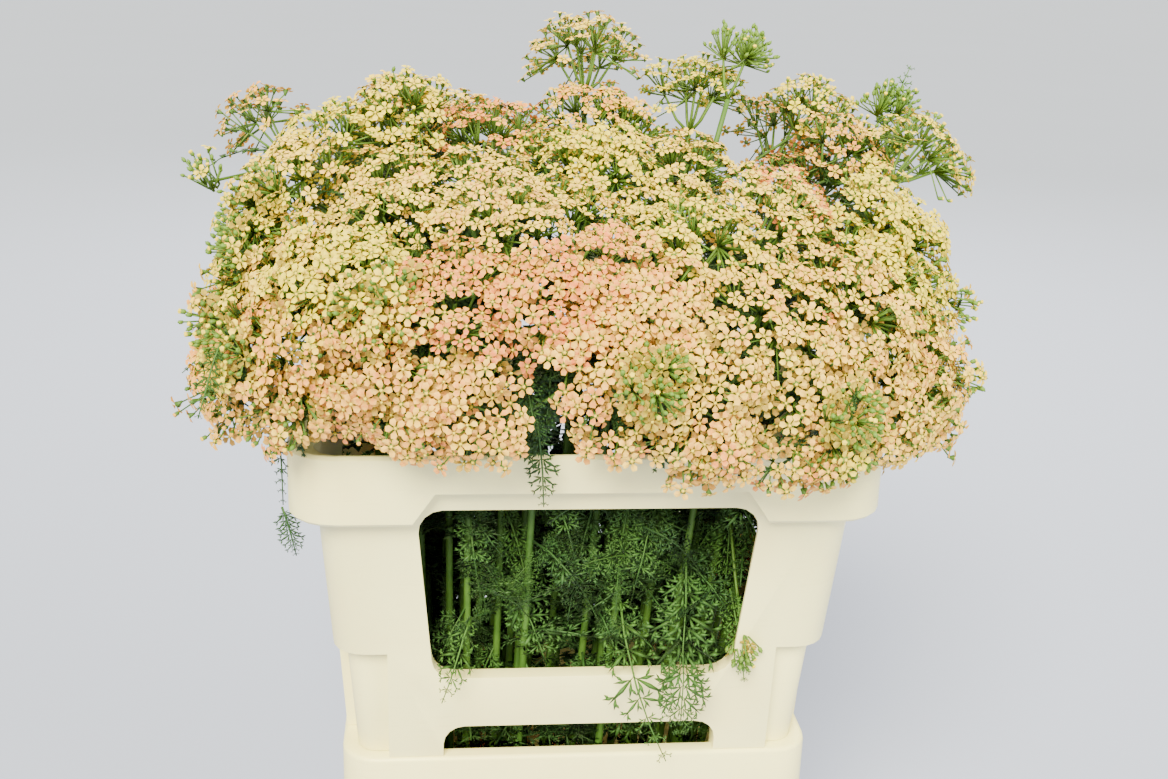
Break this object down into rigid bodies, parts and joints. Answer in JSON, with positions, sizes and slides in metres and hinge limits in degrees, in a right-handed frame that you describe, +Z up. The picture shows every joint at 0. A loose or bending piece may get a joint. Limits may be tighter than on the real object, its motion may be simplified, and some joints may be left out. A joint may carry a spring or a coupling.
{
  "type": "yarrow plant",
  "caption": "Bunch of cut flowering yarrow stems with domed heads, standing in a tapered plastic bucket under a windowed collar",
  "frame": {"origin": "centre of the bucket's underside", "axes": "+Z up, +X along the container's long side, -Y towards the windowed front"},
  "size_m": [0.5766, 0.4651, 0.7084],
  "materials": {
    "bucket_plastic": "satin cream moulded plastic, slightly scuffed",
    "collar_plastic": "satin cream moulded plastic, slightly scuffed",
    "yarrow": "matt cream to salmon florets over green stems and feathery dark green leaves"
  },
  "bodies": {
    "root": {"bucket": "bucket_plastic", "collar": "collar_plastic", "flowering_stem_01": "yarrow", "flowering_stem_02": "yarrow", "flowering_stem_03": "yarrow", "flowering_stem_04": "yarrow", "flowering_stem_05": "yarrow", "flowering_stem_06": "yarrow", "flowering_stem_07": "yarrow", "flowering_stem_08": "yarrow", "flowering_stem_09": "yarrow", "flowering_stem_10": "yarrow", "flowering_stem_11": "yarrow", "flowering_stem_12": "yarrow", "flowering_stem_13": "yarrow", "flowering_stem_14": "yarrow", "flowering_stem_15": "yarrow", "flowering_stem_16": "yarrow", "flowering_stem_17": "yarrow", "flowering_stem_18": "yarrow", "flowering_stem_19": "yarrow", "flowering_stem_20": "yarrow", "flowering_stem_21": "yarrow", "flowering_stem_22": "yarrow", "flowering_stem_23": "yarrow", "flowering_stem_24": "yarrow", "flowering_stem_25": "yarrow", "flowering_stem_26": "yarrow", "flowering_stem_27": "yarrow", "flowering_stem_28": "yarrow", "flowering_stem_29": "yarrow", "flowering_stem_30": "yarrow", "flowering_stem_31": "yarrow", "flowering_stem_32": "yarrow", "flowering_stem_33": "yarrow", "flowering_stem_34": "yarrow", "flowering_stem_35": "yarrow", "flowering_stem_36": "yarrow", "flowering_stem_37": "yarrow", "flowering_stem_38": "yarrow", "flowering_stem_39": "yarrow", "flowering_stem_40": "yarrow", "flowering_stem_41": "yarrow", "flowering_stem_42": "yarrow", "flowering_stem_43": "yarrow", "flowering_stem_44": "yarrow", "flowering_stem_45": "yarrow", "flowering_stem_46": "yarrow", "flowering_stem_47": "yarrow", "flowering_stem_48": "yarrow", "flowering_stem_49": "yarrow", "flowering_stem_50": "yarrow", "flowering_stem_51": "yarrow", "flowering_stem_52": "yarrow", "flowering_stem_53": "yarrow", "flowering_stem_54": "yarrow"}
  },
  "joints": []
}
